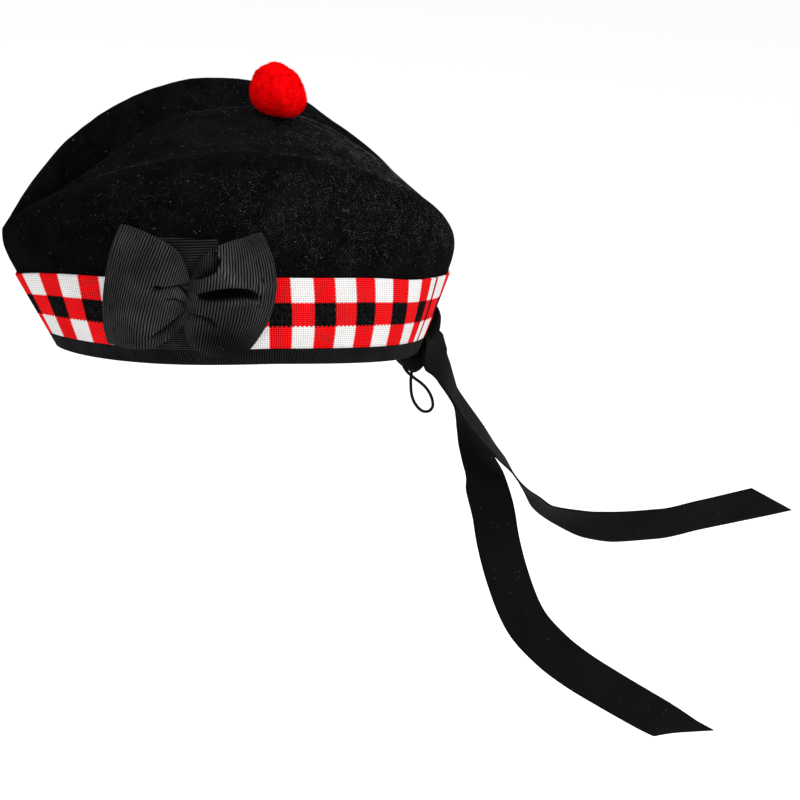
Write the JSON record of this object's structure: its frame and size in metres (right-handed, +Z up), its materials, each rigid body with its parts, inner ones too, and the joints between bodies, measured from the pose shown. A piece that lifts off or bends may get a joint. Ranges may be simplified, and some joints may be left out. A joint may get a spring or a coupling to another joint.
{
  "type": "glengarry",
  "caption": "Folded felt cap with a diced band, a ribbon cockade on the left, a round woollen toorie on top and two ribbon tails hanging at the back.",
  "frame": {"origin": "middle of the head opening, level with the lower edge at the wearer's ears", "axes": "+Z up through the crown, -Y to the front of the cap, +X to the wearer's left, the side with the cockade"},
  "size_m": [0.1813, 0.5003, 0.4138],
  "materials": {
    "black_felt": "matt fulled wool with fine pale fibres",
    "diced_wool": "matt woven wool in red, off-white and black checks",
    "black_grosgrain": "ribbed ribbon with a low sheen",
    "red_wool": "matt teased wool",
    "black_satin_ribbon": "smooth ribbon with a soft sheen",
    "black_cord": "matt braided cord"
  },
  "bodies": {
    "root": {"crown": "black_felt", "dicing_band": "diced_wool", "edge_binding": "black_grosgrain", "toorie": "red_wool", "cockade_backing": "black_grosgrain", "cockade_loop_front": "black_grosgrain", "cockade_loop_back": "black_grosgrain", "ribbon_knot": "black_satin_ribbon", "tail_lower": "black_satin_ribbon", "tail_upper": "black_satin_ribbon", "drawstring_loop": "black_cord"}
  },
  "joints": []
}
